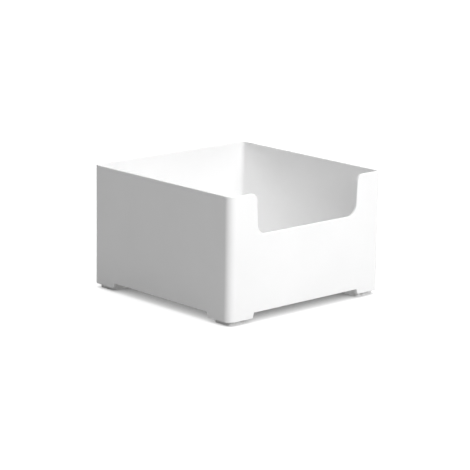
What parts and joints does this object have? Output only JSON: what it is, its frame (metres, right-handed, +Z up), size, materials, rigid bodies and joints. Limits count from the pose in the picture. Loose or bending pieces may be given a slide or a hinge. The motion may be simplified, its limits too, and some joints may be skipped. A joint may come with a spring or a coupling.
{
  "type": "stackable open-fronted storage box",
  "caption": "Square open-topped storage box with a wide U-shaped front opening, low arches between its corner feet, and pads under the feet that drop inside the rim of a box below.",
  "frame": {"origin": "on the ground, under the centre of the box", "axes": "+Z up; the open front faces -Y; +X to the right seen from the front"},
  "size_m": [0.17, 0.17, 0.1053],
  "materials": {
    "white_moulding": "satin, fine moulded",
    "soft_pad": "matt"
  },
  "bodies": {
    "root": {"box_body": "white_moulding", "foot_pad_front_left": "soft_pad", "foot_pad_front_right": "soft_pad", "foot_pad_rear_left": "soft_pad", "foot_pad_rear_right": "soft_pad"}
  },
  "joints": []
}
